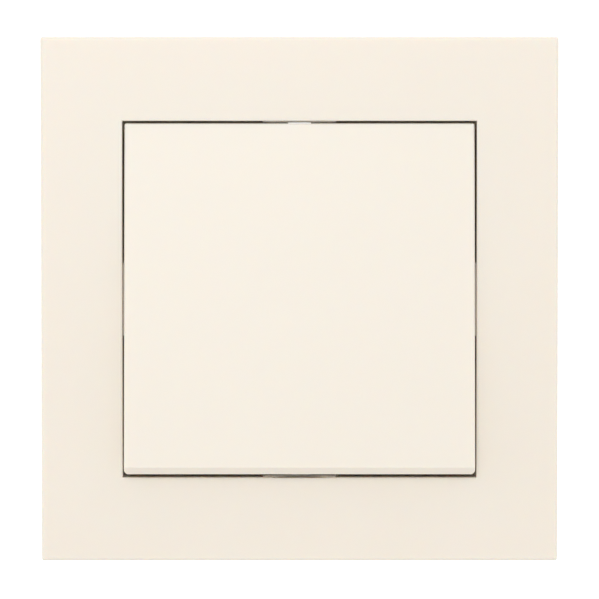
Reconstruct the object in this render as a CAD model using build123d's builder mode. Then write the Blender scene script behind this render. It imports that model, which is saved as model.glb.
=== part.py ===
from build123d import *
import os
from math import cos, radians, sin

# Flush rocker light switch for a 60 mm wall box: cover frame, rocker key, mechanism and
# fixings.  Frame of the model: X right, Z up, Y into the wall.  The origin is the middle of
# the box-screw pattern, on the wall plane.  The front of the switch faces -Y.
os.makedirs("parts", exist_ok=True)

# ---------------------------------------------------------------- driving dimensions, mm
frame_w = 81.3
frame_h = 82.4
frame_depth = 9.0
frame_face = 2.0
frame_wall = 1.8
opening_w = 55.7
opening_h = 56.1
opening_wall = 1.3
opening_wall_back = 3.6

key_w = 55.0
key_h = 55.1
key_face = 1.6
key_wall = 1.1
key_skirt = 5.6

hinge_front = 6.0
hinge_z = -0.12
key_front = 4.7
half_tilt = 4.0

bezel_size = 51.4
bezel_front = 4.0
bezel_face = 1.15

plate_size = 70.0
plate_t = 1.2
box_pitch = 60.0
box_slot_w = 3.8
box_slot_l = 7.0

housing_w = 37.2
housing_h = 41.0
housing_depth = 21.0
housing_wall = 1.8

trunnion_r = 1.6
running_gap = 0.06
weld = 0.1

lever_pivot_depth = 9.45
lever_tilt = 7.0
lever_w = 6.4

claw_z = 9.5
claw_screw_x = 25.2
claw_pivot_x = 20.0
claw_pivot_depth = 5.6
claw_t = 1.2
claw_w = 12.6

terminal_z = 14.4
terminal_depth = 16.0


# ---------------------------------------------------------------- helpers
def front(distance):
    """Plane parallel to the wall and `distance` in front of it: local X right, local Y up."""
    return Plane.XZ.offset(distance)


def tilted(front_distance, z, angle):
    """Plane through a hinge line, turned by `angle` about X: its normal points out of the wall."""
    turn = radians(angle)
    return Plane(
        origin=(0, -front_distance, z),
        x_dir=(1, 0, 0),
        z_dir=(0, -cos(turn), -sin(turn)),
    )


def save(piece, name):
    """Label one finished piece and write it as its own STEP file."""
    piece.part.label = name
    export_step(piece.part, f"parts/{name}.step")


key_plane = tilted(hinge_front, hinge_z, -half_tilt)
key_axis = Axis(key_plane.origin, key_plane.z_dir)
key_side_plane = Plane(
    origin=key_plane.origin - Vector(key_w / 2 + 1, 0, 0),
    x_dir=key_plane.y_dir,
    z_dir=(1, 0, 0),
)
lever_plane = tilted(-lever_pivot_depth, 0, lever_tilt)
side_turns = (
    (0, opening_w / 2),
    (90, opening_h / 2),
    (180, opening_w / 2),
    (270, opening_h / 2),
)

# ---------------------------------------------------------------- cover frame
# A flat square surround, hollow behind, with an inner wall round the opening.  A sprung
# arm in the middle of each side snaps under the bezel of the mechanism.
frame_edge_r = 0.45
frame_corner_r = 0.35
opening_edge_r = 0.2
rib_t = 0.9
rib_pitch = 40.0
stiffener_w = 69.4
stiffener_back = 3.4
arm_w = 11.5
arm_t = 1.2
arm_proud = 0.2
arm_front = 7.8
arm_back = 2.0
arm_slit = 0.6
hook_t = 0.75
hook_w = 1.85
hook_reach = 25.2
screw_head_gap = 7.8
pry_notch_w = 7.1
pry_notch_depth = 1.6
pry_notch_r = ((pry_notch_w / 2) ** 2 + pry_notch_depth**2) / (2 * pry_notch_depth)

with BuildPart() as cover_frame:
    with BuildSketch(front(0)):
        RectangleRounded(frame_w, frame_h, frame_corner_r)
    extrude(amount=frame_depth)
    fillet(cover_frame.faces().sort_by(Axis.Y)[0].edges(), frame_edge_r)
    with BuildSketch(front(0)):
        Rectangle(opening_w, opening_h)
    extrude(amount=frame_depth, mode=Mode.SUBTRACT)
    opening_edges = cover_frame.faces().sort_by(Axis.Y)[0].inner_wires()[0].edges()
    fillet(opening_edges, opening_edge_r)
    with BuildSketch(front(0)):
        Rectangle(frame_w - 2 * frame_wall, frame_h - 2 * frame_wall)
    extrude(amount=opening_wall_back, mode=Mode.SUBTRACT)
    with BuildSketch(front(opening_wall_back)):
        Rectangle(frame_w - 2 * frame_wall, frame_h - 2 * frame_wall)
        Rectangle(opening_w + 2 * opening_wall, opening_h + 2 * opening_wall, mode=Mode.SUBTRACT)
    extrude(amount=frame_depth - frame_face - opening_wall_back, mode=Mode.SUBTRACT)
    # Ribs tie the inner wall to the outer wall, two on each side.
    rib_back = opening_wall_back
    for turn, half in side_turns:
        outer_half = (frame_w if turn % 180 == 0 else frame_h) / 2 - frame_wall
        rib_length = outer_half - half - opening_wall + 4 * weld
        rib_mid = (outer_half + half + opening_wall) / 2
        with BuildSketch(front(rib_back)):
            with PolarLocations(rib_mid, 1, start_angle=turn):
                with Locations((0, -rib_pitch / 2), (0, rib_pitch / 2)):
                    Rectangle(rib_length, rib_t)
        extrude(amount=frame_depth - frame_face - rib_back + weld)
    # A low stiffening wall runs round the hollow back, half way out.
    with BuildSketch(front(stiffener_back)):
        Rectangle(stiffener_w, stiffener_w + frame_h - frame_w)
        Rectangle(
            stiffener_w - 2 * rib_t,
            stiffener_w + frame_h - frame_w - 2 * rib_t,
            mode=Mode.SUBTRACT,
        )
    extrude(amount=frame_depth - frame_face - stiffener_back + weld)
    # Sprung arms: slits free each arm from the inner wall, a gap clears the box-screw head.
    for turn, half in side_turns:
        with BuildSketch(front(arm_back)):
            with PolarLocations(half - arm_proud + arm_t / 2, 1, start_angle=turn):
                Rectangle(arm_t, arm_w)
        extrude(amount=arm_front - arm_back)
        with BuildSketch(front(arm_back)):
            with PolarLocations((half - arm_proud + arm_t / 2 + hook_reach) / 2, 1, start_angle=turn):
                with Locations((0, -(arm_w - hook_w) / 2), (0, (arm_w - hook_w) / 2)):
                    Rectangle(half - arm_proud + arm_t / 2 - hook_reach, hook_w)
        extrude(amount=hook_t)
        with BuildSketch(front(0)):
            with PolarLocations(half + arm_t / 2, 1, start_angle=turn):
                Rectangle(3 * arm_t, screw_head_gap)
        extrude(amount=opening_wall_back + arm_slit, mode=Mode.SUBTRACT)
        with BuildSketch(front(0)):
            with PolarLocations(half + opening_wall / 2, 1, start_angle=turn):
                with Locations((0, -(arm_w + arm_slit) / 2), (0, (arm_w + arm_slit) / 2)):
                    Rectangle(opening_wall + 2 * arm_proud, arm_slit)
        extrude(amount=frame_depth - frame_face - arm_slit, mode=Mode.SUBTRACT)
    # A shallow arc in the lower arm takes the tip of a screwdriver to prise off the key.
    with BuildSketch(Plane.XY.offset(-opening_h / 2 - weld)):
        with Locations((0, -(arm_front + pry_notch_r - pry_notch_depth))):
            Circle(pry_notch_r)
    extrude(amount=arm_proud + 2 * weld, mode=Mode.SUBTRACT)
save(cover_frame, "cover_frame")

# ---------------------------------------------------------------- rocker key
# The big flat key: a shallow tray with draft on its skirt, a well rounded lower edge and
# four clips behind that snap over the ends of the toggle carrier.
draft_angle = 2.5
key_lower_corner_r = 0.8
key_upper_corner_r = 0.3
key_lower_bevel = 1.1
key_lower_bevel_depth = 1.0
key_lower_bevel_r = 1.0
key_edge_r = 0.28
deck_w = 23.8
deck_h = 30.0
deck_back = 0.9
deck_front = 2.95
clip_w = 4.0
clip_t = 1.2
clip_x = 7.0
clip_gap = 0.15
clip_nib = 0.55
key_rib_h = 1.0
key_rib_t = 0.8
key_rib_x = 16.0
key_rib_y = 19.5

with BuildPart() as rocker_key:
    with BuildSketch(key_plane.offset(key_front)):
        RectangleRounded(key_w, key_h, key_upper_corner_r)
    extrude(amount=-key_skirt, taper=draft_angle)
    fillet(rocker_key.faces().sort_by(key_axis)[-1].edges(), key_edge_r)
    # The lower edge has a soft bevel, and the two lower corners are rounder than the others.
    with BuildSketch(key_side_plane):
        with BuildLine():
            Polyline(
                (-key_h / 2 - 1, key_front + 1),
                (-key_h / 2 + key_lower_bevel + 1, key_front + 1),
                (-key_h / 2 + key_lower_bevel + 1, key_front),
                (-key_h / 2 + key_lower_bevel, key_front),
                (-key_h / 2, key_front - key_lower_bevel_depth),
                (-key_h / 2 - 1, key_front - key_lower_bevel_depth),
                close=True,
            )
        make_face()
        bevel_start = vertices().sort_by_distance(
            key_side_plane.from_local_coords((-key_h / 2 + key_lower_bevel, key_front, 0))
        )[0]
        fillet(bevel_start, key_lower_bevel_r)
    extrude(amount=key_w + 2, mode=Mode.SUBTRACT)
    corner_cut = 2 * key_lower_corner_r
    with BuildSketch(key_plane.offset(key_front + 1)):
        for side in (-1, 1):
            corner = (side * (key_w / 2 - key_lower_corner_r), -(key_h / 2 - key_lower_corner_r))
            with Locations((corner[0] + side * corner_cut / 2, corner[1] - corner_cut / 2)):
                Rectangle(corner_cut, corner_cut)
            with Locations(corner):
                Circle(key_lower_corner_r, mode=Mode.SUBTRACT)
    extrude(amount=-(key_skirt + 2), mode=Mode.SUBTRACT)
    # The tray is hollow behind: a face, a skirt and a grid of thin ribs.
    with BuildSketch(key_plane.offset(key_front - key_face)):
        Rectangle(key_w - 2 * key_wall, key_h - 2 * key_wall)
    extrude(amount=-key_skirt, taper=draft_angle, mode=Mode.SUBTRACT)
    with BuildSketch(key_plane.offset(key_front - key_face - key_rib_h)):
        with Locations((0, -key_rib_y), (0, key_rib_y)):
            Rectangle(key_w - 2 * key_wall + weld, key_rib_t)
        with Locations((-key_rib_x, 0), (key_rib_x, 0)):
            Rectangle(key_rib_t, key_h - 2 * key_wall + weld)
    extrude(amount=key_rib_h + weld)
    # Four clips, each a post with a nib that hooks behind the deck of the toggle carrier.
    clip_y = deck_h / 2 + clip_gap + clip_t / 2
    nib_front = deck_back - clip_gap
    with BuildSketch(key_plane.offset(nib_front - clip_nib)):
        with GridLocations(2 * clip_x, 2 * clip_y, 2, 2):
            Rectangle(clip_w, clip_t)
    extrude(amount=key_front - key_face - nib_front + clip_nib + weld)
    with BuildSketch(key_plane.offset(nib_front - clip_nib)):
        with GridLocations(2 * clip_x, 2 * (clip_y - clip_gap - clip_nib / 2), 2, 2):
            Rectangle(clip_w, clip_t)
    extrude(amount=clip_nib)
save(rocker_key, "rocker_key")

# ---------------------------------------------------------------- toggle carrier
# The rocking carrier under the key: a deck, two cheeks with trunnions on the hinge line,
# and a barrel that points into the mechanism and holds the plunger and its spring.
cheek_r = 3.0
cheek_t = 2.5
trunnion_end = 14.5
barrel_r = 3.3
barrel_bore_r = 2.2
barrel_back = 9.4
barrel_roof = 0.4
barrel_web_back = 1.6
barrel_web_t = 1.2
deck_corner_r = 0.8
deck_window_w = 10.0
deck_window_h = 5.0
deck_window_z = 9.5
trunnion_root = 0.5

with BuildPart() as toggle_carrier:
    with BuildSketch(key_plane.offset(deck_back)):
        RectangleRounded(deck_w, deck_h, deck_corner_r)
    extrude(amount=deck_front - deck_back)
    with BuildSketch(key_plane.offset(deck_back)):
        with Locations((0, -deck_window_z), (0, deck_window_z)):
            RectangleRounded(deck_window_w, deck_window_h, deck_corner_r)
    extrude(amount=deck_front - deck_back, mode=Mode.SUBTRACT)
    with BuildSketch(Plane.YZ.offset(-deck_w / 2)):
        with Locations((-hinge_front, hinge_z)):
            Circle(cheek_r)
    extrude(amount=cheek_t)
    with BuildSketch(Plane.YZ.offset(deck_w / 2)):
        with Locations((-hinge_front, hinge_z)):
            Circle(cheek_r)
    extrude(amount=-cheek_t)
    with BuildSketch(Plane.YZ.offset(-trunnion_end)):
        with Locations((-hinge_front, hinge_z)):
            Circle(trunnion_r)
    extrude(amount=trunnion_end - deck_w / 2 + trunnion_root)
    with BuildSketch(Plane.YZ.offset(trunnion_end)):
        with Locations((-hinge_front, hinge_z)):
            Circle(trunnion_r)
    extrude(amount=-(trunnion_end - deck_w / 2 + trunnion_root))
    with BuildSketch(key_plane.offset(-barrel_back)):
        Circle(barrel_r)
    extrude(amount=barrel_back + deck_back + weld)
    with BuildSketch(key_plane.offset(-barrel_back)):
        Circle(barrel_bore_r)
    extrude(amount=barrel_back + barrel_roof, mode=Mode.SUBTRACT)
    barrel_web_w = deck_w - 2 * cheek_t + 4 * weld
    with BuildSketch(key_plane.offset(-barrel_web_back)):
        Rectangle(barrel_web_w, barrel_web_t)
        Circle(barrel_bore_r + 4 * weld, mode=Mode.SUBTRACT)
    extrude(amount=barrel_web_back + deck_back + weld)
save(toggle_carrier, "toggle_carrier")

# ---------------------------------------------------------------- plunger and its spring
# The spring pushes the plunger out of the barrel against the moving contact, so the
# carrier snaps over its dead centre.
plunger_tip = 13.9
plunger_tip_r = 0.8
plunger_r = barrel_bore_r - running_gap
plunger_shoulder = 8.0
plunger_collar_end = 11.2
spigot_l = 1.2
spigot_gap = 0.2
spring_wire_r = 0.25
spring_r = 1.75
spring_gap = 0.05
spring_turns = 7

with BuildPart() as plunger:
    with BuildSketch(key_plane.offset(-plunger_collar_end)):
        Circle(plunger_r)
    extrude(amount=plunger_collar_end - plunger_shoulder)
    with BuildSketch(key_plane.offset(-plunger_collar_end)):
        Circle(plunger_r)
    with BuildSketch(key_plane.offset(-(plunger_tip - plunger_tip_r))):
        Circle(plunger_tip_r)
    loft()
    tip_centre = key_plane.offset(-(plunger_tip - plunger_tip_r)).origin
    with Locations(tip_centre):
        Sphere(plunger_tip_r)
    # A short spigot keeps the spring central.
    with BuildSketch(key_plane.offset(-plunger_shoulder)):
        Circle(spring_r - spring_wire_r - spigot_gap)
    extrude(amount=spigot_l)
save(plunger, "plunger")

spring_back = plunger_shoulder - spring_wire_r - spring_gap
spring_length = spring_back + barrel_roof - spring_wire_r - spring_gap
with BuildPart() as plunger_spring:
    with BuildLine() as coil:
        Helix(
            pitch=spring_length / spring_turns,
            height=spring_length,
            radius=spring_r,
            center=key_plane.offset(-spring_back).origin,
            direction=key_plane.z_dir,
        )
    with BuildSketch(Plane(origin=coil.line @ 0, z_dir=coil.line % 0)):
        Circle(spring_wire_r)
    sweep(path=coil.line, is_frenet=True)
save(plunger_spring, "plunger_spring")

# ---------------------------------------------------------------- mechanism bezel
# The moulded front of the mechanism.  It clamps the mounting plate against the housing,
# carries the two bearing ears of the toggle carrier and gives the frame's hooks a catch.
bezel_wall = 1.5
bezel_corner_r = 1.5
bezel_edge_r = 0.4
screw_boss_wall = 0.6
screw_recess = 0.5
screw_head_clear = 0.2
screw_clear = 0.15
barrel_hole_w = 7.8
barrel_hole_h = 9.0
barrel_hole_r = 1.0
cheek_slot_h = 7.4
ear_t = 2.6
ear_w = 7.0
ear_front = 8.3
ear_in = 12.15
ear_mouth = 2.5
ear_root = 0.6
claw_access_r = 3.2
housing_screw_x = 14.0
housing_screw_z = 22.9
housing_screw_r = 1.25
housing_screw_head_r = 2.2
housing_screw_head_t = 1.2
catch_depth = 0.95
rim_size = 56.5
rim_t = 0.7
box_screw_clear_r = 4.0
catch_w = arm_w + 0.8

with BuildPart() as mechanism_bezel:
    with BuildSketch(front(plate_t)):
        RectangleRounded(bezel_size, bezel_size, bezel_corner_r)
    extrude(amount=bezel_front - plate_t)
    fillet(mechanism_bezel.faces().sort_by(Axis.Y)[0].edges(), bezel_edge_r)
    with BuildSketch(front(plate_t)):
        Rectangle(bezel_size - 2 * bezel_wall, bezel_size - 2 * bezel_wall)
    extrude(amount=bezel_front - bezel_face - plate_t, mode=Mode.SUBTRACT)
    with BuildSketch(front(plate_t)):
        with GridLocations(2 * housing_screw_x, 2 * housing_screw_z, 2, 2):
            Circle(housing_screw_head_r + screw_boss_wall)
        Rectangle(bezel_size, bezel_size, mode=Mode.INTERSECT)
    extrude(amount=bezel_front - plate_t - screw_recess)
    # A hole for the swing of the barrel and a slot under each cheek of the carrier.
    cheek_slot_w = ear_in - deck_w / 2 + cheek_t + 2 * screw_clear
    with BuildSketch(front(plate_t)):
        RectangleRounded(barrel_hole_w, barrel_hole_h, barrel_hole_r)
        with GridLocations(2 * ear_in - cheek_slot_w, 0, 2, 1):
            Rectangle(cheek_slot_w, cheek_slot_h)
    extrude(amount=bezel_front, mode=Mode.SUBTRACT)
    # Bearing ears with a snap mouth towards the front.
    for side in (-1, 1):
        ear_plane = Plane.YZ.offset(side * (ear_in + ear_t / 2) - ear_t / 2)
        with BuildSketch(ear_plane):
            with Locations((-(bezel_front + hinge_front - ear_root) / 2, hinge_z)):
                Rectangle(hinge_front - bezel_front + ear_root, ear_w)
            with Locations((-hinge_front, hinge_z)):
                Circle(ear_w / 2)
            with Locations((-ear_front - ear_w / 2, hinge_z)):
                Rectangle(ear_w, ear_w, mode=Mode.SUBTRACT)
        extrude(amount=ear_t)
        with BuildSketch(ear_plane):
            with Locations((-hinge_front, hinge_z)):
                Circle(trunnion_r + running_gap)
            with Locations((-hinge_front - ear_w / 2, hinge_z)):
                Rectangle(ear_w, ear_mouth)
        extrude(amount=ear_t, mode=Mode.SUBTRACT)
    # Undercut catches for the hooks of the cover frame.
    for turn in (0, 90, 180, 270):
        with BuildSketch(front(plate_t)):
            with PolarLocations(bezel_size / 2, 1, start_angle=turn):
                Rectangle(2 * catch_depth, catch_w)
        extrude(amount=bezel_front - bezel_face - plate_t, mode=Mode.SUBTRACT)
    # A thin rim covers the plate behind the gap round the key, clear of the box screws.
    with BuildSketch(front(plate_t)):
        Rectangle(rim_size, rim_size)
        Rectangle(bezel_size - 2 * bezel_wall, bezel_size - 2 * bezel_wall, mode=Mode.SUBTRACT)
        with PolarLocations(box_pitch / 2, 4):
            Circle(box_screw_clear_r, mode=Mode.SUBTRACT)
    extrude(amount=rim_t)
    # Notches to reach the claw screws, and recessed holes for the four housing screws.
    with BuildSketch(front(0)):
        with Locations((claw_screw_x, claw_z), (-claw_screw_x, -claw_z)):
            Circle(claw_access_r)
    extrude(amount=bezel_front + 1, mode=Mode.SUBTRACT)
    with BuildSketch(front(0)):
        with GridLocations(2 * housing_screw_x, 2 * housing_screw_z, 2, 2):
            Circle(housing_screw_r + screw_clear)
    extrude(amount=bezel_front + 1, mode=Mode.SUBTRACT)
    with BuildSketch(front(bezel_front - screw_recess - housing_screw_head_t)):
        with GridLocations(2 * housing_screw_x, 2 * housing_screw_z, 2, 2):
            Circle(housing_screw_head_r + screw_head_clear)
    extrude(amount=bezel_front, mode=Mode.SUBTRACT)
save(mechanism_bezel, "mechanism_bezel")

# ---------------------------------------------------------------- mounting plate
# Galvanised steel plate against the wall: a window for the housing, four box-screw slots
# on a 60 mm cross, two claw-screw holes and stepped corners that line up gang to gang.
claw_hole_r = 1.8
corner_step = 3.0
plate_corner_r = 1.5
housing_corner_r = 1.0
window_gap = 0.4

with BuildPart() as mounting_plate:
    with BuildSketch(front(0)):
        RectangleRounded(plate_size, plate_size, plate_corner_r)
        with GridLocations(plate_size, plate_size, 2, 2):
            Rectangle(2 * corner_step, 2 * corner_step, mode=Mode.SUBTRACT)
        RectangleRounded(
            housing_w + 2 * window_gap,
            housing_h + 2 * window_gap,
            housing_corner_r,
            mode=Mode.SUBTRACT,
        )
        with Locations((-box_pitch / 2, 0), (box_pitch / 2, 0)):
            SlotOverall(box_slot_l, box_slot_w, mode=Mode.SUBTRACT)
        with Locations((0, -box_pitch / 2), (0, box_pitch / 2)):
            SlotOverall(box_slot_l, box_slot_w, rotation=90, mode=Mode.SUBTRACT)
        with Locations((claw_screw_x, claw_z), (-claw_screw_x, -claw_z)):
            Circle(claw_hole_r, mode=Mode.SUBTRACT)
        with GridLocations(2 * housing_screw_x, 2 * housing_screw_z, 2, 2):
            Circle(housing_screw_r + screw_clear, mode=Mode.SUBTRACT)
    extrude(amount=plate_t)
save(mounting_plate, "mounting_plate")

# ---------------------------------------------------------------- mechanism housing
# The moulded body of the mechanism: a tube through the plate, with a flange above and below,
# guides for the terminal cages and lugs for the claws.
flange_h = 50.0
flange_inset = 1.0
flange_corner_r = 2.0
flange_t = 2.4
face_gap = 0.05
boss_r = 2.1
boss_end = 6.0
pilot_end = 5.2
pilot_gap = 0.02
terminal_screw_head_r = 2.6
lug_t = 1.5
lug_out = 2.6
lug_h = 2.8
lug_root = 0.2
claw_end_gap = 0.3
claw_pin_r = 0.8
cage_w = 7.8
cage_l = 4.6
cage_wall = 1.0
guide_gap = 0.3
guide_t = 0.9
guide_h = 9.6
guide_depth = 6.4
back_t = 1.0
back_step = 0.8
back_step_in = 0.9
floor = housing_depth - housing_wall

with BuildPart() as mechanism_housing:
    with BuildSketch(front(plate_t - face_gap)):
        RectangleRounded(housing_w, housing_h, housing_corner_r)
    extrude(amount=-(housing_depth - back_t + plate_t - face_gap))
    with BuildSketch(front(-face_gap)):
        RectangleRounded(housing_w - 2 * flange_inset, flange_h, flange_corner_r)
    extrude(amount=-flange_t)
    with BuildSketch(front(-face_gap)):
        with GridLocations(2 * housing_screw_x, 2 * housing_screw_z, 2, 2):
            Circle(boss_r)
    extrude(amount=-boss_end)
    with BuildSketch(front(plate_t)):
        Rectangle(housing_w - 2 * housing_wall, housing_h - 2 * housing_wall)
    extrude(amount=-(housing_depth + plate_t), mode=Mode.SUBTRACT)
    with BuildSketch(front(0)):
        with GridLocations(2 * housing_screw_x, 2 * housing_screw_z, 2, 2):
            Circle(housing_screw_r + pilot_gap)
    extrude(amount=-pilot_end, mode=Mode.SUBTRACT)
    # Guides beside each terminal cage, joined to the top and bottom walls.
    with BuildSketch(front(-floor)):
        with GridLocations(cage_w + 2 * guide_gap + guide_t, 2 * terminal_z, 2, 2):
            Rectangle(guide_t, guide_h)
    extrude(amount=guide_depth)
    # A rebate that takes the back, and screwdriver holes through the top and bottom.
    with BuildSketch(front(-floor)):
        Rectangle(housing_w - 2 * back_step_in, housing_h - 2 * back_step_in)
    extrude(amount=-back_step - back_t, mode=Mode.SUBTRACT)
    with BuildSketch(Plane.XY.offset(-housing_h / 2 - 1)):
        with Locations((0, terminal_depth)):
            Circle(terminal_screw_head_r + screw_clear)
    extrude(amount=housing_h + 2, mode=Mode.SUBTRACT)
    # Claw lugs: two on each side, with the bearing holes of the claw pins.
    for side in (-1, 1):
        lug_mid = claw_w / 2 + claw_end_gap + lug_t / 2
        for end in (-1, 1):
            with BuildSketch(Plane.XY.offset(side * claw_z + end * lug_mid - lug_t / 2)):
                with Locations((side * (housing_w / 2 + lug_out / 2 - lug_root), claw_pivot_depth)):
                    Rectangle(lug_out + 2 * lug_root, lug_h)
            extrude(amount=lug_t)
        with BuildSketch(Plane.XY.offset(side * claw_z - claw_w / 2 - 2 * lug_t)):
            with Locations((side * claw_pivot_x, claw_pivot_depth)):
                Circle(claw_pin_r + running_gap)
        extrude(amount=claw_w + 4 * lug_t, mode=Mode.SUBTRACT)
save(mechanism_housing, "mechanism_housing")

# ---------------------------------------------------------------- housing back
# The closed back, welded into the rebate of the housing.  It has the two wire entries, and
# seats inside that carry the contact strips.
wire_hole_r = 1.6
wire_z = 12.3
back_gap = 0.05
back_edge_r = 0.8
strip_front = 12.4
strip_t = 0.8
seat_w = 6.4
common_seat_z = 1.5
common_seat_h = 7.0
output_seat_z = -7.4
output_seat_h = 3.0

with BuildPart() as housing_back:
    with BuildSketch(front(-housing_depth + back_t)):
        RectangleRounded(housing_w, housing_h, housing_corner_r)
    extrude(amount=-back_t)
    fillet(housing_back.faces().sort_by(Axis.Y)[-1].edges(), back_edge_r)
    with BuildSketch(front(-floor)):
        Rectangle(
            housing_w - 2 * (back_step_in + back_gap),
            housing_h - 2 * (back_step_in + back_gap),
        )
    extrude(amount=-back_step)
    with BuildSketch(front(-floor - back_step / 2)):
        with Locations((0, common_seat_z)):
            Rectangle(seat_w, common_seat_h)
        with Locations((0, output_seat_z)):
            Rectangle(seat_w, output_seat_h)
    extrude(amount=floor + back_step / 2 - strip_front - strip_t)
    with BuildSketch(front(-floor + 1)):
        with Locations((0, wire_z), (0, -wire_z)):
            Circle(wire_hole_r)
    extrude(amount=-housing_wall - 2, mode=Mode.SUBTRACT)
save(housing_back, "housing_back")

# ---------------------------------------------------------------- housing screws
# Four tapping screws pull the bezel and the housing together with the plate between them.
housing_screw_l = 7.0
housing_screw_head_back = bezel_front - screw_recess - housing_screw_head_t
drive_slot_w = 0.7
housing_drive_l = 2.6
housing_drive_depth = 0.7

with BuildPart() as housing_screws:
    with BuildSketch(front(housing_screw_head_back)):
        with GridLocations(2 * housing_screw_x, 2 * housing_screw_z, 2, 2):
            Circle(housing_screw_head_r)
    extrude(amount=housing_screw_head_t)
    with BuildSketch(front(housing_screw_head_back)):
        with GridLocations(2 * housing_screw_x, 2 * housing_screw_z, 2, 2):
            Circle(housing_screw_r)
    extrude(amount=-housing_screw_l)
    with BuildSketch(front(housing_screw_head_back + housing_screw_head_t)):
        with GridLocations(2 * housing_screw_x, 2 * housing_screw_z, 2, 2):
            Rectangle(housing_drive_l, drive_slot_w)
            Rectangle(drive_slot_w, housing_drive_l)
    extrude(amount=-housing_drive_depth, mode=Mode.SUBTRACT)
save(housing_screws, "housing_screws")

# ---------------------------------------------------------------- contact strips
# Each brass strip lies on its seat in the housing and turns back into its terminal cage.
# The common strip has two ears that carry the pins of the moving contact.
strip_w = 4.8
strip_bend_z = 14.0
strip_end = 18.2
lever_pin_r = 0.5
lever_ear_x = 3.8
lever_ear_t = 0.8
lever_ear_half = 1.7
ear_foot = 0.2
contact_arm = 10.0
strip_overrun = 3.0

with BuildPart() as common_terminal:
    with BuildSketch(front(-strip_front - strip_t)):
        with Locations((0, (strip_bend_z + strip_t) / 2)):
            Rectangle(strip_w, strip_bend_z + strip_t)
        Rectangle(2 * (lever_ear_x + lever_ear_t), 2 * lever_ear_half)
    extrude(amount=strip_t)
    with BuildSketch(Plane.XY.offset(strip_bend_z)):
        with Locations((0, (strip_front + strip_end) / 2)):
            Rectangle(strip_w, strip_end - strip_front)
    extrude(amount=strip_t)
    for side in (-1, 1):
        with BuildSketch(Plane.YZ.offset(side * (lever_ear_x + lever_ear_t / 2) - lever_ear_t / 2)):
            with Locations(((lever_pivot_depth + strip_front) / 2 + ear_foot, 0)):
                Rectangle(strip_front - lever_pivot_depth + 2 * ear_foot, 2 * lever_ear_half)
            with Locations((lever_pivot_depth, 0)):
                Circle(lever_ear_half)
            with Locations((lever_pivot_depth, 0)):
                Circle(lever_pin_r + running_gap, mode=Mode.SUBTRACT)
        extrude(amount=lever_ear_t)
save(common_terminal, "common_terminal")

with BuildPart() as output_terminal:
    with BuildSketch(front(-strip_front - strip_t)):
        with Locations((0, -(strip_bend_z + strip_t + contact_arm - strip_overrun) / 2)):
            Rectangle(strip_w, strip_bend_z + strip_t - contact_arm + strip_overrun)
    extrude(amount=strip_t)
    with BuildSketch(Plane.XY.offset(-strip_bend_z)):
        with Locations((0, (strip_front + strip_end) / 2)):
            Rectangle(strip_w, strip_end - strip_front)
    extrude(amount=-strip_t)
save(output_terminal, "output_terminal")

# ---------------------------------------------------------------- contacts
# Silver rivets: a domed fixed one on the output strip, a flat moving one on the lever.
fixed_contact_r = 1.7
fixed_contact_top = 10.58
moving_contact_r = 1.5
moving_contact_t = 1.0
lever_t = 0.8
valley_half = 3.4
valley_floor = 1.5
valley_rise = 0.6
lever_tail = 5.0
lever_end = 11.6
dome_sagitta = 0.3
dome_r = (fixed_contact_r**2 + dome_sagitta**2) / (2 * dome_sagitta)

with BuildPart() as fixed_contact:
    with BuildSketch(front(-strip_front)):
        with Locations((0, -contact_arm)):
            Circle(fixed_contact_r)
    extrude(amount=strip_front - fixed_contact_top)
    with Locations((0, fixed_contact_top + dome_r, -contact_arm)):
        Sphere(dome_r, mode=Mode.INTERSECT)
save(fixed_contact, "fixed_contact")

# The lever is a bent copper strip.  The plunger runs in its shallow valley, and two side
# wings carry the pins that rock in the ears of the common strip.
lever_profile = [
    (-lever_end, valley_floor + valley_rise),
    (-valley_half, valley_floor + valley_rise),
    (0, valley_floor),
    (valley_half, valley_floor + valley_rise),
    (lever_tail, valley_floor + valley_rise),
]
lever_side_plane = Plane(
    origin=lever_plane.origin - Vector(lever_w / 2, 0, 0),
    x_dir=lever_plane.y_dir,
    z_dir=(1, 0, 0),
)
wing_t = 0.8
wing_h = 2.2
lever_pin_l = lever_ear_x + lever_ear_t - lever_w / 2 + 0.3
with BuildPart() as moving_contact:
    with BuildSketch(lever_side_plane):
        with BuildLine():
            Polyline(*lever_profile)
            Polyline(*[(z, out - lever_t) for z, out in lever_profile])
            Line(lever_profile[0], (lever_profile[0][0], lever_profile[0][1] - lever_t))
            Line(lever_profile[-1], (lever_profile[-1][0], lever_profile[-1][1] - lever_t))
        make_face()
    extrude(amount=lever_w)
    for side in (0, 1):
        wing_x = side * (lever_w - wing_t)
        with BuildSketch(lever_side_plane.offset(wing_x)):
            with Locations((0, valley_floor / 2)):
                Rectangle(wing_h, valley_floor)
            Circle(wing_h / 2)
        extrude(amount=wing_t)
    with BuildSketch(lever_side_plane.offset(lever_w - wing_t)):
        Circle(lever_pin_r)
    extrude(amount=wing_t + lever_pin_l)
    with BuildSketch(lever_side_plane.offset(wing_t)):
        Circle(lever_pin_r)
    extrude(amount=-(wing_t + lever_pin_l))
save(moving_contact, "moving_contact")

with BuildPart() as moving_contact_tip:
    with BuildSketch(lever_plane.offset(valley_floor + valley_rise - lever_t)):
        with Locations((0, -contact_arm)):
            Circle(moving_contact_r)
    extrude(amount=-moving_contact_t)
save(moving_contact_tip, "moving_contact_tip")

# ---------------------------------------------------------------- rising-cage terminals
# Turning the captive screw lifts the threaded cage, which clamps the wire against the strip.
cage_roof = 1.2
cage_low = 9.6
cage_high = 16.5
terminal_screw_r = 1.5
cage_corner_r = 0.5
terminal_drive_l = 3.6
terminal_drive_depth = 0.9
terminal_screw_shank_end = strip_bend_z + strip_t + face_gap
terminal_head_low = 18.72
terminal_head_high = 20.2

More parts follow.
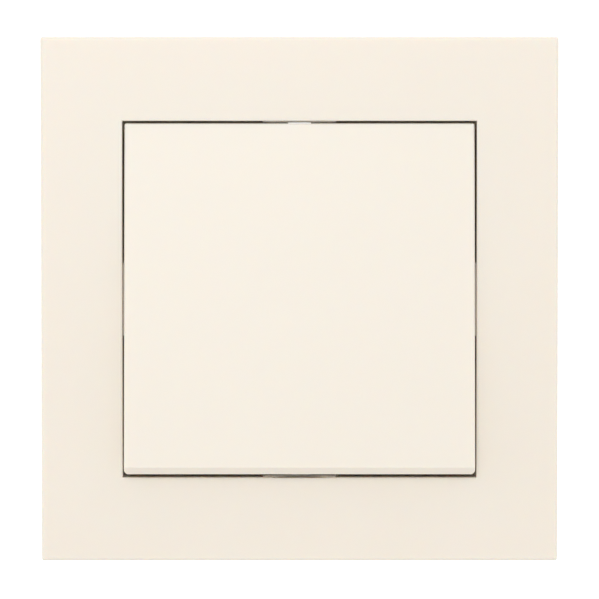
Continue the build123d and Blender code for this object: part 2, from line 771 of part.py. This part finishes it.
for place, side in (("top", 1), ("bottom", -1)):
    with BuildPart() as terminal_cage:
        with BuildSketch(Plane.XZ.offset(-terminal_depth - cage_l / 2)):
            with Locations((0, side * (cage_low + cage_high) / 2)):
                RectangleRounded(cage_w, cage_high - cage_low, cage_corner_r)
            with Locations((0, side * (cage_low + cage_wall + cage_high - cage_roof) / 2)):
                Rectangle(
                    cage_w - 2 * cage_wall,
                    cage_high - cage_low - cage_wall - cage_roof,
                    mode=Mode.SUBTRACT,
                )
        extrude(amount=cage_l)
        with BuildSketch(Plane.XY.offset(side * (strip_bend_z + 1.0))):
            with Locations((0, terminal_depth)):
                Circle(terminal_screw_r + running_gap)
        extrude(amount=side * cage_wall * 4, mode=Mode.SUBTRACT)
    save(terminal_cage, f"terminal_cage_{place}")
    with BuildPart() as terminal_screw:
        with BuildSketch(Plane.XY.offset(side * terminal_screw_shank_end)):
            with Locations((0, terminal_depth)):
                Circle(terminal_screw_r)
        extrude(amount=side * (terminal_head_low - terminal_screw_shank_end + weld))
        with BuildSketch(Plane.XY.offset(side * terminal_head_low)):
            with Locations((0, terminal_depth)):
                Circle(terminal_screw_head_r)
        extrude(amount=side * (terminal_head_high - terminal_head_low))
        with BuildSketch(Plane.XY.offset(side * terminal_head_high)):
            with Locations((0, terminal_depth)):
                Rectangle(terminal_drive_l, drive_slot_w)
                Rectangle(drive_slot_w, terminal_drive_l)
        extrude(amount=-side * terminal_drive_depth, mode=Mode.SUBTRACT)
    save(terminal_screw, f"terminal_screw_{place}")

# ---------------------------------------------------------------- spreading claws
# Each claw is a bent steel piece that rocks on a pin in the housing lugs.  Its foot is
# slotted over the claw screw.  The captive nut behind the foot draws it forward, which
# swings the toothed arms outward against the wall of the box.
claw_foot_end = 9.3
claw_foot_w = 6.4
claw_slot_in = 3.6
claw_slot_out = 7.7
claw_slot_w = 3.6
claw_window_w = 5.8
claw_band = 15.0
claw_end = 20.0
claw_lip = 1.6
tooth_count = 3
tooth_notch_r = 1.2
tooth_notch_depth = 3.0
claw_head_front = plate_t + 0.1
claw_head_edge_r = 0.5
claw_tip_chamfer = 0.4
claw_drive_l = 4.2
claw_drive_depth = 1.1
nut_corner_r = 0.4
claw_screw_r = 1.45
claw_screw_head_r = 2.8
claw_screw_head_t = 2.0
claw_screw_tip = 12.5
nut_size = 5.0
nut_t = 2.25
nut_front = 6.35

for place, side in (("left", -1), ("right", 1)):
    mid_z = side * claw_z
    arm_inner = claw_pivot_x - claw_t / 2
    arm_outer = claw_pivot_x + claw_t / 2
    foot_front = claw_pivot_depth - claw_t / 2
    foot_back = claw_pivot_depth + claw_t / 2
    with BuildPart() as claw:
        with BuildSketch(Plane.XY.offset(mid_z - claw_w / 2)):
            with Locations((side * claw_pivot_x, (foot_front + claw_end) / 2)):
                Rectangle(claw_t, claw_end - foot_front)
            with Locations((side * (arm_outer + (claw_lip - weld) / 2), claw_end - claw_t / 2)):
                Rectangle(claw_lip + weld, claw_t)
        extrude(amount=claw_w)
        with BuildSketch(Plane.XY.offset(mid_z - claw_foot_w / 2)):
            with Locations((side * (claw_pivot_x + claw_foot_end / 2), claw_pivot_depth)):
                Rectangle(claw_foot_end, claw_t)
        extrude(amount=claw_foot_w)
        # The window lets the screw and the nut stand between the two arms.
        with BuildSketch(Plane.XY.offset(mid_z - claw_window_w / 2)):
            with Locations((side * claw_pivot_x, (foot_back + claw_band) / 2)):
                Rectangle(2 * claw_t, claw_band - foot_back)
        extrude(amount=claw_window_w, mode=Mode.SUBTRACT)
        slot_mid = side * (claw_pivot_x + (claw_slot_in + claw_slot_out) / 2)
        with BuildSketch(front(-foot_back - 1)):
            with Locations((slot_mid, mid_z)):
                Rectangle(claw_slot_out - claw_slot_in, claw_slot_w)
        extrude(amount=claw_t + 2, mode=Mode.SUBTRACT)
        # Notches between the teeth of the lip.
        with BuildSketch(front(-claw_end + tooth_notch_depth / 2)):
            with GridLocations(0, claw_w / tooth_count, 1, tooth_count - 1):
                with Locations((side * (arm_outer + claw_lip), mid_z)):
                    RegularPolygon(tooth_notch_r, 3, rotation=0 if side < 0 else 180)
        extrude(amount=-tooth_notch_depth, mode=Mode.SUBTRACT)
        with BuildSketch(Plane.XY.offset(mid_z - claw_w / 2 - lug_t)):
            with Locations((side * claw_pivot_x, claw_pivot_depth)):
                Circle(claw_pin_r)
        extrude(amount=claw_w + 2 * lug_t)
    save(claw, f"claw_{place}")
    with BuildPart() as claw_screw:
        with BuildSketch(front(claw_head_front)):
            with Locations((side * claw_screw_x, mid_z)):
                Circle(claw_screw_head_r)
        extrude(amount=claw_screw_head_t)
        fillet(claw_screw.faces().sort_by(Axis.Y)[0].edges(), claw_head_edge_r)
        with BuildSketch(front(claw_head_front + weld)):
            with Locations((side * claw_screw_x, mid_z)):
                Circle(claw_screw_r)
        extrude(amount=-(claw_screw_tip + claw_head_front + weld))
        chamfer(claw_screw.faces().sort_by(Axis.Y)[-1].edges(), claw_tip_chamfer)
        with BuildSketch(front(claw_head_front + claw_screw_head_t)):
            with Locations((side * claw_screw_x, mid_z)):
                Rectangle(claw_drive_l, drive_slot_w)
                Rectangle(drive_slot_w, claw_drive_l)
        extrude(amount=-claw_drive_depth, mode=Mode.SUBTRACT)
    save(claw_screw, f"claw_screw_{place}")
    with BuildPart() as claw_nut:
        with BuildSketch(front(-nut_front)):
            with Locations((side * claw_screw_x, mid_z)):
                RectangleRounded(nut_size, nut_size, nut_corner_r)
                Circle(claw_screw_r + running_gap, mode=Mode.SUBTRACT)
        extrude(amount=-nut_t)
    save(claw_nut, f"claw_nut_{place}")
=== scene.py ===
import math

import bmesh
import bpy
from mathutils import Matrix, Vector


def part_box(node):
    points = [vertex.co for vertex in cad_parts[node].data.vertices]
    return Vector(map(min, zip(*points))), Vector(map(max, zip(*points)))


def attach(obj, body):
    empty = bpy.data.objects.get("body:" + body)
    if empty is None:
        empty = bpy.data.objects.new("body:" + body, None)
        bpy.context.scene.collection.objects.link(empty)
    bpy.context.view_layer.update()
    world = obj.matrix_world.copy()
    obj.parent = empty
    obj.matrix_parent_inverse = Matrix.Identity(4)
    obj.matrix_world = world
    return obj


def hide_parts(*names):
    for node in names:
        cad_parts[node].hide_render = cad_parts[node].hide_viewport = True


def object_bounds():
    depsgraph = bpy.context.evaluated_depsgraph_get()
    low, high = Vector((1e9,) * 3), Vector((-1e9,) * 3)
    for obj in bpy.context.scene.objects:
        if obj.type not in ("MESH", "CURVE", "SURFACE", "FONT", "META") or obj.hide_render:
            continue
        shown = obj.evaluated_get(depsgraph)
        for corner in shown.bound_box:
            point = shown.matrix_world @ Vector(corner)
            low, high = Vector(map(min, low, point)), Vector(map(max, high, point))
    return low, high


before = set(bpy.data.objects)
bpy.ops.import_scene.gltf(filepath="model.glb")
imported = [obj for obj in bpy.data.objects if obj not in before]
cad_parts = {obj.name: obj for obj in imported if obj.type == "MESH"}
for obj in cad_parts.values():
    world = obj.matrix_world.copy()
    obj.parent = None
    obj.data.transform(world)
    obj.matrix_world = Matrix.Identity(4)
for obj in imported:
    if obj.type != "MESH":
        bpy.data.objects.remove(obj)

# The looks of a flush rocker switch, in order of assembly: mounting plate, mechanism,
# fixings, cover frame and key.
cad_low, cad_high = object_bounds()


# Mounting plate.  Sheet steel, 1.2 mm thick, stamped and hot-dip galvanised.  It lies on the
# wall over the box and everything else hangs on it.  The zinc gives a grey, softly blotched
# spangle of crystals some millimetres wide, with a satin shine.
MM = 0.001


def linear(code):
    """An sRGB hex colour as the linear RGBA that a shader socket takes."""
    parts = [int(code[i : i + 2], 16) / 255 for i in (1, 3, 5)]
    return [c / 12.92 if c <= 0.04045 else ((c + 0.055) / 1.055) ** 2.4 for c in parts] + [1.0]


def add(tree, kind, settings=None, links=None):
    """Adds one node to a tree, sets its values and sockets, and links its inputs."""
    made = tree.nodes.new(kind)
    for name, value in (settings or {}).items():
        if isinstance(name, int) or name in made.inputs:
            made.inputs[name].default_value = value
        else:
            setattr(made, name, value)
    for name, source in (links or {}).items():
        tree.links.new(source, made.inputs[name])
    return made


def new_material(name):
    """An empty node material, its tree and the place on the piece in metres."""
    material = bpy.data.materials.new(name)
    material.use_nodes = True
    tree = material.node_tree
    tree.nodes.clear()
    place = add(tree, "ShaderNodeTexCoord").outputs["Object"]
    return material, tree, place


def blend_colours(tree, share, first, second):
    """Mixes two sRGB hex colours by a 0 to 1 share."""
    colour_a, colour_b, colour_out = 6, 7, 2
    mixed = add(
        tree,
        "ShaderNodeMix",
        {"data_type": "RGBA", "clamp_factor": True, colour_a: linear(first), colour_b: linear(second)},
        {0: share},
    )
    return mixed.outputs[colour_out]


def spread(tree, value, low, high):
    """Maps a 0 to 1 value onto a narrower range."""
    mapped = add(tree, "ShaderNodeMapRange", {"To Min": low, "To Max": high}, {"Value": value})
    return mapped.outputs["Result"]


def finish(tree, settings, links):
    """Ends a tree in a Principled shader and the surface output."""
    shader = add(tree, "ShaderNodeBsdfPrincipled", settings, links)
    add(tree, "ShaderNodeOutputMaterial", None, {"Surface": shader.outputs["BSDF"]})


def dress(node, material):
    """Gives one CAD node its material in every slot."""
    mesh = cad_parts[node].data
    mesh.materials.clear()
    mesh.materials.append(material)


def galvanised_steel():
    """Hot-dip zinc: flat crystals one spangle wide, dulled in broader clouds."""
    spangle_size = 3.5 * MM
    clouds_per_spangle = 0.2
    material, tree, place = new_material("galvanised_steel")
    crystals = add(tree, "ShaderNodeTexVoronoi", {"Scale": 1 / spangle_size}, {"Vector": place})
    bloom = add(
        tree,
        "ShaderNodeTexNoise",
        {"Scale": clouds_per_spangle / spangle_size, "Detail": 3.0},
        {"Vector": place},
    )
    share = add(
        tree,
        "ShaderNodeMath",
        {"operation": "MULTIPLY"},
        {0: crystals.outputs["Color"], 1: bloom.outputs["Fac"]},
    ).outputs[0]
    finish(
        tree,
        {"Metallic": 1.0},
        {
            "Base Color": blend_colours(tree, share, "#A9ADB0", "#D3D6D8"),
            "Roughness": spread(tree, share, 0.32, 0.55),
        },
    )
    return material


dress("mounting_plate", galvanised_steel())


# Mechanism housing.  The closed back of the mechanism, injection moulded in off-white
# polyamide with a fine spark-eroded grain.  It passes through the window of the plate and
# holds the contacts and terminals.
def moulded_plastic(name, light, dark, roughness, grain, depth, ior):
    """Moulded plastic: a grain of the tool's surface and a slow drift of colour."""
    drift_width = 14 * MM
    roughness_swing = 0.05
    material, tree, place = new_material(name)
    drift = add(tree, "ShaderNodeTexNoise", {"Scale": 1 / drift_width, "Detail": 2.0}, {"Vector": place})
    fine = add(tree, "ShaderNodeTexNoise", {"Scale": 1 / grain, "Detail": 3.0}, {"Vector": place})
    bump = add(
        tree,
        "ShaderNodeBump",
        {"Strength": 0.6, "Distance": depth},
        {"Height": fine.outputs["Fac"]},
    )
    finish(
        tree,
        {"IOR": ior},
        {
            "Base Color": blend_colours(tree, drift.outputs["Fac"], dark, light),
            "Roughness": spread(
                tree, fine.outputs["Fac"], roughness - roughness_swing, roughness + roughness_swing
            ),
            "Normal": bump.outputs["Normal"],
        },
    )
    return material


SPARK_GRAIN = 0.25 * MM
GRAIN_DEPTH = 0.02 * MM
POLYAMIDE_IOR = 1.53

polyamide = moulded_plastic(
    "moulded_polyamide", "#DEDACF", "#D2CEC2", 0.52, SPARK_GRAIN, GRAIN_DEPTH, POLYAMIDE_IOR
)
for moulding in ("mechanism_housing", "housing_back"):
    dress(moulding, polyamide)


# Contact strips.  Rolled brass, stamped and bent; each lies on its seat in the housing and
# ends inside its terminal cage.  Rolling leaves fine lines along the strip.
def rolled_metal(name, light, dark, roughness, line):
    """Worked metal: lines along Z, one per `line`, vary the shine; stains vary the colour."""
    line_length = 25 * line
    stain_width = 3 * MM
    roughness_swing = 0.1
    material, tree, place = new_material(name)
    stretched = add(
        tree,
        "ShaderNodeMapping",
        {"Scale": (1 / line, 1 / line, 1 / line_length)},
        {"Vector": place},
    )
    lines = add(
        tree, "ShaderNodeTexNoise", {"Scale": 1.0, "Detail": 2.0}, {"Vector": stretched.outputs[0]}
    )
    stain = add(tree, "ShaderNodeTexNoise", {"Scale": 1 / stain_width, "Detail": 3.0}, {"Vector": place})
    finish(
        tree,
        {"Metallic": 1.0},
        {
            "Base Color": blend_colours(tree, stain.outputs["Fac"], dark, light),
            "Roughness": spread(
                tree, lines.outputs["Fac"], roughness - roughness_swing, roughness + roughness_swing
            ),
        },
    )
    return material


brass = rolled_metal("rolled_brass", "#E3C27A", "#C9A35A", 0.3, 0.12 * MM)
for strip in ("common_terminal", "output_terminal"):
    dress(strip, brass)


# Moving contact.  A bent strip of beryllium copper that rocks in the ears of the common
# strip; both rivets are silver alloy, pressed in and left bright.
dress("moving_contact", rolled_metal("beryllium_copper", "#D69A72", "#B97B55", 0.32, 0.12 * MM))
silver = rolled_metal("silver_alloy", "#E9E6DF", "#CFCBC2", 0.25, 0.3 * MM)
for rivet in ("fixed_contact", "moving_contact_tip"):
    dress(rivet, silver)


# Terminal cages.  Steel tube sections, threaded for the screw and yellow passivated: the
# thin chromate film shades from straw to greenish gold.
cage_steel = rolled_metal("yellow_passivated_steel", "#CDBB7C", "#A79A62", 0.36, 0.2 * MM)
for cage in ("terminal_cage_top", "terminal_cage_bottom"):
    dress(cage, cage_steel)


# Screws.  Zinc-plated steel with cold-formed heads, cross recesses and rolled threads.  The
# terminal screws are captive under the ends of the housing and the claw screws pass through
# the plate.  Plating is a thin bluish grey, brighter on the crests.
SIDES = 36
HEAD_STEPS = 4
STEPS_PER_PITCH = 8
SHARPEST_SMOOTH = math.radians(35)


def turned(rings, sides):
    """A closed mesh from rings of (height, radius at an angle), from the first to the last."""
    shape = bmesh.new()
    loops = []
    for height, radius in rings:
        loop = []
        for step in range(sides):
            angle = 2 * math.pi * step / sides
            reach = radius(angle)
            loop.append(shape.verts.new((reach * math.cos(angle), reach * math.sin(angle), height)))
        loops.append(loop)
    for first, second in zip(loops, loops[1:]):
        for i in range(sides):
            j = (i + 1) % sides
            shape.faces.new((first[i], second[i], second[j], first[j]))
    shape.faces.new(loops[0])
    shape.faces.new(reversed(loops[-1]))
    return shape


def cross_cutter(length, width, depth):
    """A tapered cross that cuts the recess of a screw head, its wide end past height zero."""
    above, floor_share = -0.2, 0.72
    shape = bmesh.new()
    loops = []
    for height, share in ((above, 1.0), (depth, floor_share)):
        long, thin = share * length / 2, share * width / 2
        quarter = [(long, -thin), (long, thin), (thin, thin)]
        loop = []
        for turn in range(4):
            for x, y in quarter:
                for _ in range(turn):
                    x, y = -y, x
                loop.append(shape.verts.new((x, y, height)))
        loops.append(loop)
    corners = len(loops[0])
    for i in range(corners):
        j = (i + 1) % corners
        shape.faces.new((loops[0][i], loops[1][i], loops[1][j], loops[0][j]))
    shape.faces.new(loops[0])
    shape.faces.new(reversed(loops[1]))
    return shape


def mesh_object(name, shape):
    """Turns a bmesh into an object of the scene with its faces pointing outward."""
    bmesh.ops.recalc_face_normals(shape, faces=shape.faces)
    mesh = bpy.data.meshes.new(name)
    shape.to_mesh(mesh)
    shape.free()
    made = bpy.data.objects.new(name, mesh)
    bpy.context.scene.collection.objects.link(made)
    return made


def cross_screw(name, head, shank, pitch, drive, top, axis):
    """A screw in millimetres, height counted from the top of its head, set into the model."""
    head_r, head_t, head_edge = head
    shank_r, tip, tip_chamfer = shank
    thread_depth = 0.6 * pitch
    point_share = 0.45

    def thread(height):
        def radius(angle):
            phase = (height / pitch - angle / (2 * math.pi)) % 1
            crest = abs(2 * phase - 1)
            fade = min(1, max(0, (tip - height) / tip_chamfer))
            run_in = min(1, max(0, height - head_t) / pitch)
            outer = shank_r - point_share * tip_chamfer * (1 - fade)
            return outer - thread_depth * (1 - crest) * run_in

        return radius

    def plain(value):
        return lambda angle: value

    rings = []
    for step in range(HEAD_STEPS + 1):
        turn = math.pi / 2 * step / HEAD_STEPS
        inset = head_edge * (1 - math.sin(turn))
        rings.append((head_edge * (1 - math.cos(turn)), plain(head_r - inset)))
    rings.append((head_t, plain(head_r)))
    count = round((tip - head_t) / (pitch / STEPS_PER_PITCH))
    for step in range(count + 1):
        height = head_t + (tip - head_t) * step / count
        rings.append((height, thread(height)))
    body = mesh_object(name, turned(rings, SIDES))
    cutter = mesh_object(name + "_cutter", cross_cutter(*drive))
    recess = body.modifiers.new("recess", "BOOLEAN")
    recess.object = cutter
    recess.solver = "EXACT"
    bpy.context.view_layer.update()
    finished = body.evaluated_get(bpy.context.evaluated_depsgraph_get())
    cut = bpy.data.meshes.new_from_object(finished)
    body.modifiers.clear()
    body.data = cut
    bpy.data.objects.remove(cutter)
    turn = Vector((0, 0, 1)).rotation_difference(Vector(axis)).to_matrix().to_4x4()
    cut.transform(Matrix.Translation(top) @ turn @ Matrix.Scale(MM, 4))
    cut.shade_smooth()
    cut.set_sharp_from_angle(angle=SHARPEST_SMOOTH)
    return body


zinc = rolled_metal("zinc_plated_steel", "#D5D7D8", "#B4B8BB", 0.3, 0.2 * MM)
dress("housing_screws", zinc)


def fit_screw(screw, node):
    """Puts a threaded screw in the place of its plain node, on the same body."""
    screw.data.materials.append(zinc)
    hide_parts(node)
    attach(screw, node)


for place, side in (("top", 1), ("bottom", -1)):
    node = f"terminal_screw_{place}"
    low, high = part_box(node)
    end = high.z if side > 0 else low.z
    middle_x, middle_y = (low.x + high.x) / 2, (low.y + high.y) / 2
    head_r = (high.x - low.x) / 2 / MM
    screw = cross_screw(
        f"{node}_threaded",
        head=(head_r, 1.48, 0.25),
        shank=(1.5, (high.z - low.z) / MM, 0.4),
        pitch=0.7,
        drive=(3.6, 0.75, 0.9),
        top=Vector((middle_x, middle_y, end)),
        axis=(0, 0, -side),
    )
    fit_screw(screw, node)


# Spreading claws.  Spring steel, stamped, bent and zinc plated.  Each rocks on its pin in
# the housing lugs, and its foot is drawn forward by a square nut on the claw screw.
for place in ("left", "right"):
    dress(f"claw_{place}", zinc)
    dress(f"claw_nut_{place}", zinc)
    node = f"claw_screw_{place}"
    low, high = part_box(node)
    screw = cross_screw(
        f"{node}_threaded",
        head=((high.x - low.x) / 2 / MM, 2.0, 0.5),
        shank=(1.45, (high.y - low.y) / MM, 0.5),
        pitch=0.5,
        drive=(4.2, 0.8, 1.1),
        top=Vector(((low.x + high.x) / 2, low.y, (low.z + high.z) / 2)),
        axis=(0, 1, 0),
    )
    fit_screw(screw, node)


# Mechanism bezel, toggle carrier and plunger.  Polyamide mouldings in front of the plate,
# hidden by the key; the plunger is white acetal and its spring is drawn steel wire.
ivory = moulded_plastic(
    "ivory_polyamide", "#E2D8C4", "#D8CDB8", 0.5, SPARK_GRAIN, GRAIN_DEPTH, POLYAMIDE_IOR
)
grey = moulded_plastic(
    "grey_polyamide", "#C2C4C1", "#B6B8B5", 0.5, SPARK_GRAIN, GRAIN_DEPTH, POLYAMIDE_IOR
)
acetal = moulded_plastic("white_acetal", "#E6E5E0", "#DDDCD6", 0.35, 0.4 * MM, 0.01 * MM, 1.48)
dress("mechanism_bezel", ivory)
dress("toggle_carrier", grey)
dress("plunger", acetal)
dress("plunger_spring", rolled_metal("drawn_steel_wire", "#A6A8AA", "#8B8D90", 0.35, 0.1 * MM))


# Cover frame and key.  Compression moulded urea resin in cream, from polished tools, so the
# faces are smooth with a satin gloss and hardly any grain.
CREAM_LIGHT = "#F0E8DC"
CREAM_DARK = "#EEE6D9"


def moulded_urea(name):
    """Urea resin from a polished tool: light sinks in a little, the face is barely rippled."""
    drift_width = 20 * MM
    ripple_width = 0.9 * MM
    material, tree, place = new_material(name)
    drift = add(tree, "ShaderNodeTexNoise", {"Scale": 1 / drift_width, "Detail": 2.0}, {"Vector": place})
    peel = add(tree, "ShaderNodeTexNoise", {"Scale": 1 / ripple_width, "Detail": 2.0}, {"Vector": place})
    bump = add(
        tree,
        "ShaderNodeBump",
        {"Strength": 0.25, "Distance": 0.01 * MM},
        {"Height": peel.outputs["Fac"]},
    )
    finish(
        tree,
        {
            "IOR": 1.55,
            "Subsurface Weight": 0.35,
            "Subsurface Radius": (1.0, 0.72, 0.42),
            "Subsurface Scale": 1.6 * MM,
        },
        {
            "Base Color": blend_colours(tree, drift.outputs["Fac"], CREAM_DARK, CREAM_LIGHT),
            "Roughness": spread(tree, drift.outputs["Fac"], 0.34, 0.42),
            "Normal": bump.outputs["Normal"],
        },
    )
    return material


urea = moulded_urea("cream_urea")
dress("cover_frame", urea)
dress("rocker_key", urea)


# Studio.  A pale floor well below the switch, a white surround, one large soft light from
# the upper left, and the camera square on, a little above the middle of the switch.
floor_z = -0.6
reach = 2.7
floor_corners = [(-reach, -reach), (reach, -reach), (reach, reach), (-reach, reach)]
floor_mesh = bpy.data.meshes.new("floor")
floor_mesh.from_pydata([(x, y, floor_z) for x, y in floor_corners], [], [(0, 1, 2, 3)])
floor = bpy.data.objects.new("floor", floor_mesh)
bpy.context.scene.collection.objects.link(floor)
paper, paper_tree, _ = new_material("matt_paper")
finish(paper_tree, {"Base Color": linear("#DFDFDF"), "Roughness": 0.9}, {})
floor_mesh.materials.append(paper)

front_light, back_light = 0.775, 1.15
world = bpy.data.worlds.new("studio")
bpy.context.scene.world = world
world.use_nodes = True
world.node_tree.nodes.clear()
sky_place = add(world.node_tree, "ShaderNodeTexCoord").outputs["Generated"]
towards = add(world.node_tree, "ShaderNodeSeparateXYZ", None, {"Vector": sky_place})
strength = add(
    world.node_tree,
    "ShaderNodeMapRange",
    {"From Min": -0.35, "From Max": 0.0, "To Min": front_light, "To Max": back_light},
    {"Value": towards.outputs["Y"]},
)
surround = add(
    world.node_tree,
    "ShaderNodeBackground",
    {"Color": (1, 1, 1, 1)},
    {"Strength": strength.outputs["Result"]},
)
add(world.node_tree, "ShaderNodeOutputWorld", None, {"Surface": surround.outputs[0]})

bpy.context.scene.view_settings.view_transform = "Standard"
bpy.context.scene.view_settings.look = "None"

middle = Vector((0, cad_low.y, 0))


def softbox(name, place, size, power):
    """A square area light that faces the middle of the switch."""
    lamp = bpy.data.lights.new(name, "AREA")
    lamp.size = size
    lamp.energy = power
    made = bpy.data.objects.new(name, lamp)
    made.location = place
    made.rotation_euler = (middle - Vector(place)).to_track_quat("-Z", "Y").to_euler()
    made.visible_camera = False
    bpy.context.scene.collection.objects.link(made)


softbox("key_light", (-0.12, -1.08, 0.34), 0.5, 3.4)

# The cover frame takes this share of the picture's width.
frame_share = 0.863272
camera_distance = 0.5
camera_pitch = math.radians(2.1)
frame_low, frame_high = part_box("cover_frame")
seen_width = (frame_high.x - frame_low.x) / frame_share
camera_data = bpy.data.cameras.new("camera")
camera_data.angle = 2 * math.atan(seen_width / 2 / camera_distance)
camera_data.clip_start = 0.01
camera = bpy.data.objects.new("camera", camera_data)
target = Vector((0, frame_low.y, 0))
away = Vector((0, -math.cos(camera_pitch), math.sin(camera_pitch)))
camera.location = target + camera_distance * away
camera.rotation_euler = (target - camera.location).to_track_quat("-Z", "Y").to_euler()
bpy.context.scene.collection.objects.link(camera)
bpy.context.scene.camera = camera
